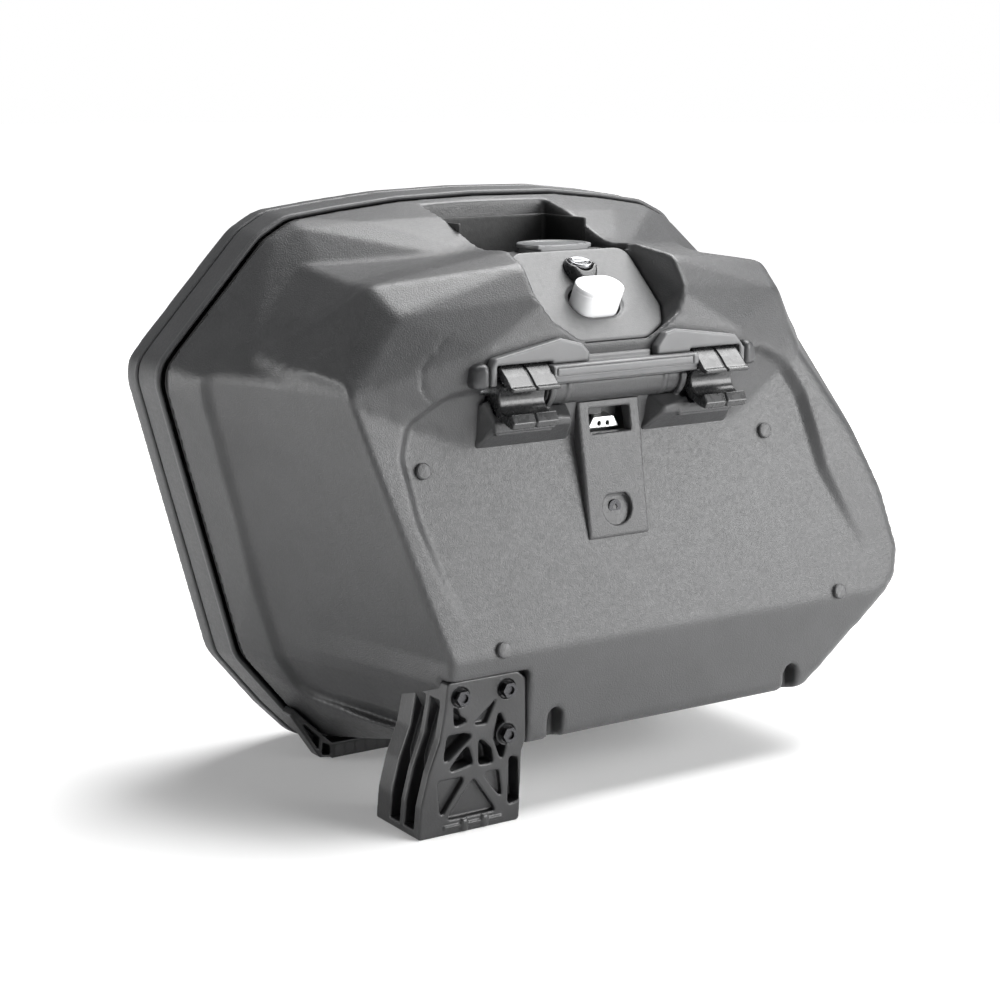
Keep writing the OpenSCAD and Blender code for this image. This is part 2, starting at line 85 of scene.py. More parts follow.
PANEL = [
    (0, 343), (142, 334), (164, 316), (194, 268), (221, 226), (243, 180), (253, 140), (248, 124),
    (239, 117), (-145, 117), (-148, 124), (-171, 196), (-185, 245), (-197, 290), (-148, 334),
]
SKIRT = [(235, 117), (161, 52), (-100, 52), (-128, 66), (-145, 100), (-145, 117)]
SKIRT_LEAN = math.radians(4)
# Slope below the rim, and the raised middle of the block, each mirrored left to right
SLOPE = [
    (58, 30, 393), (105, 40, 391), (150, 56, 387), (48, -17, 376), (100, 2, 367), (153, 22, 358),
    (40, -55, 362), (97, -20, 352), (155, 2, 342),
]
HUMP = [
    (46, 20, 380), (48, -17, 376), (59, -86, 364), (54, -100, 346), (45, -106, 326), (104, -104, 316),
    (112, -102, 296), (104, -96, 254), (161, -60, 352), (156, -83, 337), (153, 22, 358), (158, 42, 361),
]
HUMP_SIDES = [
    (-214, 12, 306), (-195, -50, 304), (-197, -85, 290), (217, 12, 306), (200, -50, 300), (174, -83, 294),
]
# Sunk field on the leaning panel, and the scalloped left side as (y, z)
FIELD = [
    (-95, 291), (-127, 285), (-152, 270), (-160, 250), (-154, 210), (-139, 164), (-128, 140),
    (-118, 60), (222, 60), (222, 132), (184, 208), (173, 262), (160, 285), (133, 297),
]
FIELD_DEPTH = 5.0
SCALLOP = [(36, 60), (36, 135), (33, 193), (34, 250), (38, 291), (12, 305), (-52, 302), (-170, 290),
           (-170, 30)]

# Lock cover frame: x across, s up its slope, n out of it
COVER_FOOT = (-108.0, 317.0)
COVER_TILT = math.atan2(56, 58)
COVER_LEN = math.hypot(56, 58)
COVER = [
    (-28, 0), (28, 0), (45, 10), (52, 26), (49, COVER_LEN), (-49, COVER_LEN), (-52, 26), (-45, 10),
]
BUTTON_AT = 34.0
BUTTON_W = 38.0
BUTTON_H = 24.0
BUTTON_TILT = math.radians(27)
BUTTON_RISE = 14.0
KEY_AT = 61.0
KEY_TILT = math.radians(17)
KEY_D = 17.0
BADGE_Y = -33.5
BADGE_R = 26.0

SIDES = {-1: "left", 1: "right"}
HOOK_X = 79.0
HOOK_W = 38.0
SHAFT_Y = -97.0
SHAFT_Z = 290.0
TUBE_R = 15.0
FOOT_Y = -127.0
SCREW_Z = 202.0
NOTCHES = [(-61, 68), (146, 66)]
NOTCH_R = 6.0
PADS = [(-147, 240), (139, 240), (-105, 121), (187, 121)]
FOOT_BOLTS = [(-136, 93), (-100, 93), (-100, 62)]


def face_y(z):
    """Depth of the leaning panel's outer face at a height."""
    return PANEL_Y + (z - CREASE_Z) * math.tan(LEAN)


# ---------------------------------------------------------------- outlines

def with_arcs(points, radius=0.0, steps=6):
    """Rounds the corners of a closed outline. A point may carry its own radius as a third value."""
    rounded = []
    count = len(points)
    for i, point in enumerate(points):
        before = Vector(points[i - 1][:2])
        corner = Vector(point[:2])
        after = Vector(points[(i + 1) % count][:2])
        reach = point[2] if len(point) > 2 else radius
        to_before = before - corner
        to_after = after - corner
        half = to_before.angle(to_after) / 2
        cut = min(reach / math.tan(half), 0.48 * to_before.length, 0.48 * to_after.length)
        start = corner + to_before.normalized() * cut
        end = corner + to_after.normalized() * cut
        for k in range(steps + 1):
            t = k / steps
            spot = start * (1 - t) ** 2 + corner * 2 * t * (1 - t) + end * t ** 2
            rounded.append((spot.x, spot.y))
    return rounded


def flat_distance(u, v, points):
    """Signed distance from each (u, v) to a closed outline, negative inside."""
    best = np.full(np.broadcast(u, v).shape, 1e9, dtype=np.float32)
    inside = np.zeros(best.shape, dtype=bool)
    for (au, av), (bu, bv) in zip(points, points[1:] + points[:1]):
        eu = bu - au
        ev = bv - av
        length = eu * eu + ev * ev
        if length < 1e-9:
            continue
        t = np.clip(((u - au) * eu + (v - av) * ev) / length, 0, 1)
        best = np.minimum(best, (u - au - t * eu) ** 2 + (v - av - t * ev) ** 2)
        if ev != 0:
            inside ^= ((av > v) != (bv > v)) & (u < eu * (v - av) / ev + au)
    return np.where(inside, -1, 1) * np.sqrt(best)


# ---------------------------------------------------------------- clay

def join(a, b, blend=0.01):
    """Union of two fields, with a fillet about blend wide where they meet."""
    h = np.clip(0.5 + 0.5 * (b - a) / blend, 0, 1)
    return b * (1 - h) + a * h - blend * h * (1 - h)


def carve(a, b, blend=0.01):
    """Field a with field b cut out of it, and the new edge rounded by blend."""
    return -join(-a, b, blend)


def overlap(a, b, blend=0.01):
    """The part that fields a and b share."""
    return -join(-a, -b, blend)


def band(along, low, high):
    """Distance outside the slab between two levels."""
    return np.abs(along - (low + high) / 2) - (high - low) / 2


def thick(flat, along, low, high, edge=0.0):
    """A flat field given thickness between two levels, its edges rounded by edge."""
    a = flat + edge
    b = band(along, low, high) + edge
    outside = np.sqrt(np.maximum(a, 0) ** 2 + np.maximum(b, 0) ** 2)
    return np.minimum(np.maximum(a, b), 0) + outside - edge


def eased(t):
    """Smooth step of a value between 0 and 1."""
    t = np.clip(t, 0, 1)
    return t * t * (3 - 2 * t)


def convex_hull(points):
    """Vertices and triangles of the convex hull of some points."""
    hull = bmesh.new()
    for point in points:
        hull.verts.new(point)
    made = bmesh.ops.convex_hull(hull, input=hull.verts)
    loose = [e for e in made["geom_interior"] if isinstance(e, bmesh.types.BMVert)]
    bmesh.ops.delete(hull, geom=loose, context="VERTS")
    bmesh.ops.triangulate(hull, faces=hull.faces)
    hull.verts.index_update()
    spots = np.array([v.co[:] for v in hull.verts])
    faces = np.array([[v.index for v in f.verts] for f in hull.faces])
    hull.free()
    return spots, faces


def halved(quads):
    """Four-sided faces as two triangles each."""
    return np.concatenate([quads[:, [0, 1, 2]], quads[:, [0, 2, 3]]])


class Clay:
    """A block of cells that holds signed distances in millimetres, negative inside a shape."""

    def __init__(self, low, high, cell):
        self.low = np.array(low, dtype=float)
        self.cell = cell
        axes = []
        for start, end in zip(low, high):
            count = int(math.ceil((end - start) / cell)) + 1
            axes.append((start + cell * np.arange(count)).astype(np.float32))
        self.shape = tuple(len(axis) for axis in axes)
        self.x, self.y, self.z = np.ix_(*axes)
        self.grid_step = vdb.createLinearTransform(voxelSize=cell)

    def distance(self, spots, faces, reach):
        """Signed distance to a closed triangle mesh, right as far as reach."""
        grid = vdb.FloatGrid.createLevelSetFromPolygons(
            (spots - self.low).astype(np.float32), triangles=faces.astype(np.uint32),
            transform=self.grid_step, halfWidth=reach / self.cell)
        field = np.empty(self.shape, dtype=np.float32)
        grid.copyToArray(field, ijk=(0, 0, 0))
        return field

    def surface(self, field, level=0.0):
        """Points and four-sided faces of the surface where a field equals a level."""
        grid = vdb.FloatGrid(3 * self.cell)
        grid.copyFromArray(np.array(field, dtype=np.float32, order="C"), ijk=(0, 0, 0), tolerance=0.0)
        grid.transform = self.grid_step
        spots, _, quads = grid.convertToPolygons(isovalue=level, adaptivity=0.0)
        return spots + self.low, quads

    def hull(self, points, radius):
        """Convex hull of some points with every edge and corner rounded to a radius."""
        sharp = self.distance(*convex_hull(points), radius + 2 * self.cell)
        core, quads = self.surface(sharp, -radius)
        return self.distance(core, halved(quads), radius + 10) - radius

    def xz(self, points):
        """Distance to an outline given as (x, z)."""
        return flat_distance(self.x, self.z, points)

    def yz(self, points):
        """Distance to an outline given as (y, z)."""
        return flat_distance(self.y, self.z, points)

    def xy(self, points):
        """Distance to an outline given as (x, y)."""
        return flat_distance(self.x, self.y, points)

    def box(self, low, high, edge=0.0):
        """Box between two corners with rounded edges."""
        reach = 0
        inner = -1e9
        for along, a, b in zip((self.x, self.y, self.z), low, high):
            side = band(along, a, b) + edge
            reach = reach + np.maximum(side, 0) ** 2
            inner = np.maximum(inner, side)
        return np.minimum(inner, 0) + np.sqrt(reach) - edge

    def rod_x(self, y, z, radius, low, high, edge=0.0):
        """Cylinder along x."""
        return thick(np.hypot(self.y - y, self.z - z) - radius, self.x, low, high, edge)

    def rod_y(self, x, z, radius, low, high, edge=0.0):
        """Cylinder along y."""
        return thick(np.hypot(self.x - x, self.z - z) - radius, self.y, low, high, edge)

    def mesh(self, name, field, place=None):
        """Mesh of the surface of a field, put in place by a function of its points."""
        field = np.broadcast_to(field, self.shape)
        spots, quads = self.surface(field)
        if place:
            spots = place(spots)
        return make_mesh(name, spots, quads)


def make_mesh(name, spots, faces):
    """Smooth-shaded mesh in metres, its faces turned outwards."""
    spots = np.asarray(spots, dtype=float)
    faces = np.asarray(faces)
    a, b, c, d = (spots[faces[:, k]] for k in range(4))
    volume = np.einsum("ij,ij->", a, np.cross(b, c)) + np.einsum("ij,ij->", a, np.cross(c, d))
    if volume < 0:
        faces = faces[:, ::-1]
    mesh = bpy.data.meshes.new(name)
    mesh.from_pydata((spots * MM).tolist(), [], faces.tolist())
    mesh.shade_smooth()
    return mesh


def loft(name, rings):
    """Mesh through rings of equal length, the last ring joined to the first."""
    count = len(rings[0])
    spots = np.array(rings, dtype=float).reshape(-1, 3)
    faces = []
    for i in range(len(rings)):
        here = i * count
        there = (i + 1) % len(rings) * count
        for k in range(count):
            nxt = (k + 1) % count
            faces.append((here + k, here + nxt, there + nxt, there + k))
    return make_mesh(name, spots, faces)


def add_piece(name, mesh, material, body, nodes):
    """Puts a finished mesh in the scene as a piece that stands for CAD nodes."""
    piece = bpy.data.objects.new(name, mesh)
    bpy.context.scene.collection.objects.link(piece)
    mesh.materials.append(material)
    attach(piece, body)
    if nodes:
        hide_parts(*nodes)
    return piece


def cast(clay, field, name, material, node, body="root", place=None):
    """Adds the surface of a field as a piece that stands for a CAD node, if it has one."""
    nodes = [node] if node else []
    add_piece(name, clay.mesh(name, field, place), MATERIALS[material], body, nodes)


# ---------------------------------------------------------------- materials

def start_material(name, metallic, roughness):
    """Material with a Principled shader and object coordinates."""
    material = bpy.data.materials.new(name)
    material.use_nodes = True
    nodes = material.node_tree.nodes
    shader = nodes["Principled BSDF"]
    shader.inputs["Metallic"].default_value = metallic
    shader.inputs["Roughness"].default_value = roughness
    where = nodes.new("ShaderNodeTexCoord")
    return material, shader, where.outputs["Object"]


def noise(material, where, scale, detail=2.0, stretch=(1, 1, 1)):
    """Noise texture in object space; scale is in features per metre."""
    nodes = material.node_tree.nodes
    links = material.node_tree.links
    mapping = nodes.new("ShaderNodeMapping")
    mapping.inputs["Scale"].default_value = stretch
    links.new(where, mapping.inputs["Vector"])
    texture = nodes.new("ShaderNodeTexNoise")
    texture.inputs["Scale"].default_value = scale
    texture.inputs["Detail"].default_value = detail
    links.new(mapping.outputs["Vector"], texture.inputs["Vector"])
    return texture.outputs["Fac"]


def remap(material, value, low, high, to_low, to_high):
    """Maps a value from one range to another."""
    node = material.node_tree.nodes.new("ShaderNodeMapRange")
    material.node_tree.links.new(value, node.inputs["Value"])
    for socket, number in zip(("From Min", "From Max", "To Min", "To Max"), (low, high, to_low, to_high)):
        node.inputs[socket].default_value = number
    return node.outputs["Result"]


def mix_colours(material, factor, a, b):
    """Mixes two colours, or a socket and a colour, by a factor."""
    node = material.node_tree.nodes.new("ShaderNodeMix")
    node.data_type = "RGBA"
    material.node_tree.links.new(factor, node.inputs["Factor"])
    for socket, colour in (("A", a), ("B", b)):
        target = [s for s in node.inputs if s.name == socket and s.type == "RGBA"][0]
        if isinstance(colour, tuple):
            target.default_value = (*colour, 1)
        else:
            material.node_tree.links.new(colour, target)
    return [s for s in node.outputs if s.type == "RGBA"][0]


def add_bump(material, shader, height, strength, depth):
    """Bump from a height value; depth in metres."""
    node = material.node_tree.nodes.new("ShaderNodeBump")
    node.inputs["Strength"].default_value = strength
    node.inputs["Distance"].default_value = depth
    material.node_tree.links.new(height, node.inputs["Height"])
    material.node_tree.links.new(node.outputs["Normal"], shader.inputs["Normal"])


def edge_wear(material, colour, worn, start, end):
    """Lightens a colour on sharp convex edges, where handling polishes the plastic."""
    nodes = material.node_tree.nodes
    shape = nodes.new("ShaderNodeNewGeometry")
    amount = remap(material, shape.outputs["Pointiness"], start, end, 0, 1)
    return mix_colours(material, amount, colour, worn)


def plastic(name, shade, roughness, grain=1100.0, strength=0.35, spread=0.1, worn=1.5):
    """Moulded plastic: fine grain, slight mottling and lighter edges."""
    material, shader, where = start_material(name, 0.0, roughness)
    links = material.node_tree.links
    dark = tuple(c * (1 - spread) for c in shade)
    light = tuple(c * (1 + spread) for c in shade)
    mottle = remap(material, noise(material, where, 34, 4), 0.3, 0.7, 0, 1)
    colour = mix_colours(material, mottle, dark, light)
    colour = edge_wear(material, colour, tuple(c * worn for c in shade), 0.52, 0.6)
    links.new(colour, shader.inputs["Base Color"])
    fine = noise(material, where, grain, 2)
    gloss = remap(material, noise(material, where, grain * 0.35, 3), 0.3, 0.7,
                  roughness - 0.05, roughness + 0.06)
    links.new(gloss, shader.inputs["Roughness"])
    add_bump(material, shader, fine, strength, 0.0004)
    return material


def metal(name, shade, roughness, stretch=(1, 1, 1), grain=900.0):
    """Metal with fine lines or speckle in its finish."""
    material, shader, where = start_material(name, 1.0, roughness)
    links = material.node_tree.links
    lines = noise(material, where, grain, 3, stretch)
    colour = mix_colours(material, lines, tuple(c * 0.85 for c in shade), shade)
    links.new(colour, shader.inputs["Base Color"])
    gloss = remap(material, lines, 0.3, 0.7, roughness * 0.8, roughness * 1.25)
    links.new(gloss, shader.inputs["Roughness"])
    add_bump(material, shader, lines, 0.12, 0.0002)
    return material


def rubber(name, shade):
    """Soft black seal with a dull, slightly dusty surface."""
    material, shader, where = start_material(name, 0.0, 0.75)
    links = material.node_tree.links
    dust = remap(material, noise(material, where, 60, 5), 0.45, 0.75, 0, 1)
    links.new(mix_colours(material, dust, shade, tuple(c * 2 for c in shade)), shader.inputs["Base Color"])
    add_bump(material, shader, noise(material, where, 1500, 1), 0.2, 0.0003)
    return material


def painted(name, shade):
    """Smooth satin lacquer with a faint orange-peel ripple."""
    material, shader, where = start_material(name, 0.0, 0.28)
    shader.inputs["Coat Weight"].default_value = 0.4
    shader.inputs["Coat Roughness"].default_value = 0.12
    links = material.node_tree.links
    tint = remap(material, noise(material, where, 70, 3), 0.35, 0.7, 0, 1)
    links.new(mix_colours(material, tint, shade, tuple(c * 0.94 for c in shade)), shader.inputs["Base Color"])
    add_bump(material, shader, noise(material, where, 420, 1), 0.06, 0.0003)
    return material


def floor_material():
    """Pale studio floor with painted light: an emission glow, faint near the case and growing towards its far
    edge, stands in for lamp light.
    """
    material, shader, where = start_material("studio_floor", 0.0, 0.6)
    nodes = material.node_tree.nodes
    links = material.node_tree.links
    shader.inputs["Specular IOR Level"].default_value = 0.2
    shader.inputs["Emission Color"].default_value = (1, 1, 1, 1)
    tint = remap(material, noise(material, where, 2.5, 3), 0.3, 0.7, 0, 1)
    links.new(mix_colours(material, tint, (0.80, 0.80, 0.80), (0.83, 0.83, 0.83)),
              shader.inputs["Base Color"])
    # Painted light: emission strength rises with distance from the middle of the floor.
    length = nodes.new("ShaderNodeVectorMath")
    length.operation = "LENGTH"
    links.new(where, length.inputs[0])
    painted_floor_glow = remap(material, length.outputs["Value"], 0.45, 2.2, 0.16, 1.02)
    links.new(painted_floor_glow, shader.inputs["Emission Strength"])
    return material


MATERIALS = {
    "shell": plastic("shell_grain", (0.036, 0.0364, 0.0375), 0.42, 1000, 0.6),
    "lid": plastic("lid_grain", (0.04, 0.0405, 0.042), 0.5, 1200, 0.3),
    "dark": plastic("dark_moulding", (0.014, 0.0142, 0.015), 0.42, 1300, 0.2),
    # Near black as painted shade, so that the finger pocket and the grip inside it read as a shaded hollow.
    "pocket": plastic("pocket_painted_shade", (0.008, 0.0082, 0.0085), 0.6, 900, 0.3),
    "trim": plastic("trim_moulding", (0.1, 0.101, 0.103), 0.4, 1500, 0.08, 0.08, 1.15),
    "jaw": plastic("jaw_moulding", (0.02, 0.0203, 0.021), 0.27, 700, 0.012, 0.05, 1.0),
    "foot": plastic("foot_glass_filled", (0.016, 0.0162, 0.017), 0.33, 520, 0.3, 0.35),
    "rubber": rubber("seal_rubber", (0.006, 0.006, 0.006)),
    "cover": plastic("cover_grain", (0.05, 0.0505, 0.052), 0.46, 1100, 0.25),
    "cap": plastic("cap_moulding", (0.03, 0.0305, 0.032), 0.4, 1300, 0.15),
    "strip": plastic("strip_moulding", (0.1, 0.101, 0.103), 0.38, 1500, 0.12),
    "silver": painted("button_lacquer", (0.78, 0.785, 0.795)),
    "steel": metal("bright_steel", (0.55, 0.56, 0.57), 0.28, (1, 1, 14)),
    "tongue": metal("bright_tongue", (0.9, 0.9, 0.9), 0.35, (14, 1, 1)),
    "black_steel": metal("blackened_steel", (0.06, 0.06, 0.063), 0.3),
    "chrome": metal("lock_chrome", (0.2, 0.203, 0.21), 0.2, (1, 1, 1), 1500),
    "disc": plastic("disc_moulding", (0.11, 0.112, 0.115), 0.35, 1500, 0.12),
}


# ---------------------------------------------------------------- shell

def extend(points, y):
    """Outline points at a depth, as (x, y, z)."""
    return [(x, y, z) for x, z in points]


def on_lean(points, lean, lift=0.0):
    """Outline points laid on a plane that leans about the crease."""
    turned = []
    for x, z in points:
        along = z - CREASE_Z
        turned.append((x, PANEL_Y - lift + along * math.sin(lean), CREASE_Z + along * math.cos(lean)))
    return turned


def scaled(points, left, right, above, below, level=200):
    """Outline scaled about its middle, by its own factor on each side."""
    grown = []
    for x, z in points:
        wide = x * (left if x < 0 else right)
        grown.append((wide, level + (z - level) * (above if z > level else below)))
    return grown


def mirrored(points):
    """Points and their mirror images across the case."""
    return [(side * x, y, z) for x, y, z in points for side in (-1, 1)]


def shell_body(clay):
    """Outside of the shell: rim tier, main block and the raised middle, filleted together."""
    rim = with_arcs(RIM, CORNER_R)
    tier = extend(rim, SEAL_Y) + extend(rim, SEAL_Y + 30)
    tier += extend([(x, z) for x, z in STEP if z < 320], STEP_Y) + mirrored(SLOPE)
    tier += extend(scaled(rim, 0.985, 0.997, 0.985, 0.99), SEAL_Y - 9)
    tier += extend([(x, z) for x, z in scaled(STEP, 0.9, 0.99, 0.86, 0.94) if z < 310], STEP_Y - 40)
    tier = clay.hull(tier, 5)
    block = extend(scaled(STEP, 1.03, 1.0, 1.035, 1.03), STEP_Y + 28)
    block += extend(STEP, STEP_Y + 1) + extend(RIDGE, RIDGE_Y)
    block += on_lean(PANEL, LEAN) + on_lean(SKIRT, -SKIRT_LEAN)
    crisp = clay.hull(block, 3.5)
    soft = clay.hull(block, 8)
    low = eased((290 - clay.z) / 60) * eased((clay.x + 80) / 80)
    block = crisp * (1 - low) + soft * low
    hump = clay.hull(mirrored(HUMP) + HUMP_SIDES, 4)
    return join(tier, join(block, hump, 10), 3)


def raise_panel_edges(clay, form):
    """Lifts the leaning panel around its sunk field, most at the top."""
    flat = clay.xz(with_arcs(FIELD, 16))
    high = eased((clay.z - 120) / 130) * eased((clay.y + 20) / -40)
    return form - FIELD_DEPTH * eased((flat + 2) / 9) * high


def scallop_side(clay, form):
    """Hollows the left side between the rim band and the crisp edge of the leaning panel."""
    level = clay.z
    rim = np.interp(level, (20, 46, 90, 193, 262, 290), (-135, -158, -188, -220, -236, -240))
    edge = np.interp(level, (52, 66, 100, 117, 196, 245, 290), (-101, -129, -146, -146, -170, -185, -197))
    across = np.clip((36 - clay.y) / (36 - face_y(level)), 0, 1)
    hollow = rim + 5 + (edge - rim - 5) * across + 22 * across * (1 - across)
    flat = clay.yz(with_arcs(SCALLOP, 14))
    cutter = overlap((clay.x - hollow) * 0.9, flat, 5)
    return carve(form, cutter, 3)


def cover_frame(clay):
    """Distance up the lock cover's slope and out of it, at every cell."""
    up = (clay.y - COVER_FOOT[0]) * math.cos(COVER_TILT) + (clay.z - COVER_FOOT[1]) * math.sin(COVER_TILT)
    out = (clay.z - COVER_FOOT[1]) * math.cos(COVER_TILT) - (clay.y - COVER_FOOT[0]) * math.sin(COVER_TILT)
    return up, out


def lock_bay(clay):
    """Space for the lock cover, the grip and the fingers behind it."""
    up, out = cover_frame(clay)
    right = [(s, x) for x, s in with_arcs(COVER, 14) if x >= 0]
    right.sort()
    half = np.interp(up, [s for s, _ in right], [x for _, x in right])
    flare = np.maximum(0, out) * 0.42
    plate = np.maximum(np.abs(clay.x) - half - 1.5 - flare, band(up, -1.5, COVER_LEN + 4))
    plate = np.maximum(plate, -(out + 9))
    walls = np.abs(clay.x) - 52 - np.maximum(0, out) * 0.2
    upper = overlap(overlap(walls, -(up - 22), 3), -(out - 0.5), 3)
    fingers = clay.box((-53, -50, 333), (53, 57.5, 440), 3)
    return np.minimum(np.minimum(plate, overlap(upper, clay.y - 57.5)), fingers)


def notches(clay):
    """Two upright slots in the lower edge of the skirt."""
    field = 1e9
    for x, top in NOTCHES:
        drop = np.maximum(0, clay.z - top)
        slot = np.hypot(clay.x - x, drop) - NOTCH_R
        field = np.minimum(field, np.maximum(slot, clay.y + 113))
    return field


def deepened(clay, form):
    """The same form measured afresh, so that a wall of even thickness can be left inside it."""
    spots, quads = clay.surface(form)
    return clay.distance(spots, halved(quads), WALL + 3)


def build_shell():
    """Inner shell as one hollow moulding, open at the parting plane."""
    clay = Clay((-264, -144, -4), (264, 102, 418), 2.0)
    form = raise_panel_edges(clay, shell_body(clay))
    form = scallop_side(clay, form)
    form = carve(form, clay.box((-172, -150, -10), (-83.7, -118.5, 104.3), 2), 1.5)
    form = carve(form, notches(clay), 1.5)
    form = carve(form, lock_bay(clay), 1.6)
    skin = np.maximum(form, -(deepened(clay, form) + WALL))
    skin = np.maximum(skin, clay.y - SEAL_Y)
    skin = carve(skin, clay.box((-20, -140, 240), (20, -70, 292), 1))
    for x in (-HOOK_X, HOOK_X):
        skin = carve(skin, clay.box((x - 20, -140, 262), (x + 20, -86, 304), 1))
    cast(clay, skin, "shell_skin", "shell", "inner_shell")


# ---------------------------------------------------------------- lid and seal

def stretched(hw, foot, top):
    """Rim outline stretched to a half width and to a lowest and highest level."""
    tall = (top - foot) / (RIM_TOP - RIM_FOOT)
    return [(x * hw / RIM_HW, foot + (z - RIM_FOOT) * tall) for x, z in RIM]


def lid_ring(inset, y):
    """Ring round the lid at a depth, drawn in by an inset."""
    depths = (LID_Y, LID_SPLIT_Y, LID_SPLIT_Y + 17)
    hw = np.interp(y, depths, (LID_HW - 5, LID_HW - 2, LID_HW)) - inset
    foot = np.interp(y, depths, (8, 4, 3)) + inset
    top = np.interp(y, depths, (407, 409, 409)) - inset
    outline = with_arcs(stretched(hw, foot, top), max(CORNER_R - inset, 4))
    return [(x, y, z) for x, z in outline]


def rim_ring(inset, y):
    """Ring that follows the shell's rim."""
    outline = stretched(RIM_HW - inset, RIM_FOOT + inset, RIM_TOP - inset)
    return [(x, y, z) for x, z in with_arcs(outline, CORNER_R)]


def build_lid_frame():
    """Front band of the lid, with a rolled lip against the seal."""
    y = LID_Y
    end = LID_SPLIT_Y
    profile = [
        (3.2, y + 0.9), (2.4, y + 0.25), (1.6, y), (0.9, y + 0.15), (0.35, y + 0.55), (0, y + 1.3),
        (0.05, y + 3.0), (0.7, y + 3.8), (0.8, y + 5.5), (0.8, end - 1.6), (1.0, end - 0.7),
        (1.7, end), (4.3, end), (4.3, end + 5), (5.8, end + 5), (5.8, end - 1), (3.8, end - 3), (3.8, y + 2),
    ]
    mesh = loft("lid_band", [lid_ring(inset, depth) for inset, depth in profile])
    return add_piece("lid_band", mesh, MATERIALS["lid"], "lid", ["lid_frame"])


def build_lid_cover():
    """Outer half of the lid: side band, rounded shoulder and a back with a sunk field."""
    clay = Clay((-268, LID_SPLIT_Y - 14, -4), (268, LID_BACK_Y + 4, 416), 2.0)
    front = [(x, LID_SPLIT_Y - 9, z) for x, _, z in lid_ring(0.7, LID_SPLIT_Y)]
    back = [(x, LID_BACK_Y, z) for x, _, z in lid_ring(24, LID_BACK_Y)]
    form = clay.hull(front + lid_ring(0, LID_SPLIT_Y + 17) + back, 9)
    field = clay.xz([(x, z) for x, _, z in lid_ring(52, LID_BACK_Y)])
    form = carve(form, thick(field, clay.y, LID_BACK_Y - 3.2, LID_BACK_Y + 20, 2), 2)
    skin = np.maximum(form, -(deepened(clay, form) + WALL))
    skin = np.maximum(skin, LID_SPLIT_Y + 0.6 - clay.y)
    cast(clay, skin, "lid_panel", "lid", "lid_cover", body="lid")


def build_gasket():
    """Rounded seal that closes the gap between shell and lid."""
    mid = SEAL_Y + GASKET_T / 2
    profile = []
    for k in range(12):
        turn = 2 * math.pi * k / 12
        inset = 1 + GASKET_W / 2 * (1 - math.cos(turn))
        profile.append((inset, mid + GASKET_T / 2 * math.sin(turn)))
    mesh = loft("seal_ring", [rim_ring(inset, y) for inset, y in profile])
    return add_piece("seal_ring", mesh, MATERIALS["rubber"], "root", ["gasket"])


# ---------------------------------------------------------------- lock and handle

def place_on_cover(spots):
    """Turns points given as (across, up the slope, out of it) into the case's own frame."""
    cos = math.cos(COVER_TILT)
    sin = math.sin(COVER_TILT)
    across, up, out = spots.T
    return np.stack([across, COVER_FOOT[0] + up * cos - out * sin, COVER_FOOT[1] + up * sin + out * cos], 1)


def place_leaning(at, tilt):
    """Place function for a piece whose own axis leans from upright, with its middle on the cover."""
    turn = tilt - COVER_TILT
    cos = math.cos(turn)
    sin = math.sin(turn)

    def place(spots):
        across, up, out = spots.T
        return place_on_cover(np.stack([across, at + up * cos - out * sin, up * sin + out * cos], 1))

    return place


def stadium(clay, width, height, up):
    """Distance to a slot outline centred on the cover."""
    reach = np.maximum(0, np.abs(clay.x) - (width - height) / 2)
    return np.hypot(reach, clay.y - up) - height / 2


def build_lock_cover():
    """Cover plate with a dished button well and a soft outer edge."""
    clay = Clay((-56, -4, -10), (56, COVER_LEN + 4, 6), 0.8)
    outline = clay.xy(with_arcs(COVER, 12))
    plate = thick(outline, clay.z, -6, 0, 1.6)
    plate = carve(plate, thick(outline + 3, clay.z, -12, -2.6, 1))
    well = stadium(clay, BUTTON_W, BUTTON_H, BUTTON_AT)
    plate = carve(plate, overlap(well - 3.2, -(clay.z + 1.0)), 0.8)
    plate = carve(plate, overlap(well - 1.2, band(clay.z, -20, 20)), 0.6)
    key = np.hypot(clay.x, clay.y - KEY_AT) - KEY_D / 2 - 2.6
    plate = carve(plate, overlap(key, band(clay.z, -20, 20)), 0.6)
    cast(clay, plate, "lock_plate", "cover", "lock_cover", place=place_on_cover)


def build_button():
    """Release button: an upright cap with a crowned top and a fine parting line below it."""
    clay = Clay((-22, -15, -12), (22, 15, 18), 0.6)
    outline = stadium(clay, BUTTON_W - 1, BUTTON_H - 1.6, 0)
    crown = BUTTON_RISE - (clay.x / 19) ** 2 - (clay.y / 12) ** 2 * 0.6
    body = overlap(thick(outline, clay.z, -10, 22, 0.4), clay.z - crown, 1.4)
    line = overlap(-(outline + 0.5), band(clay.z - crown, -3.6, -3.1))
    body = carve(body, line, 0.3)
    cast(clay, body, "button_cap", "silver", "push_button",
         body="button", place=place_leaning(BUTTON_AT, BUTTON_TILT))


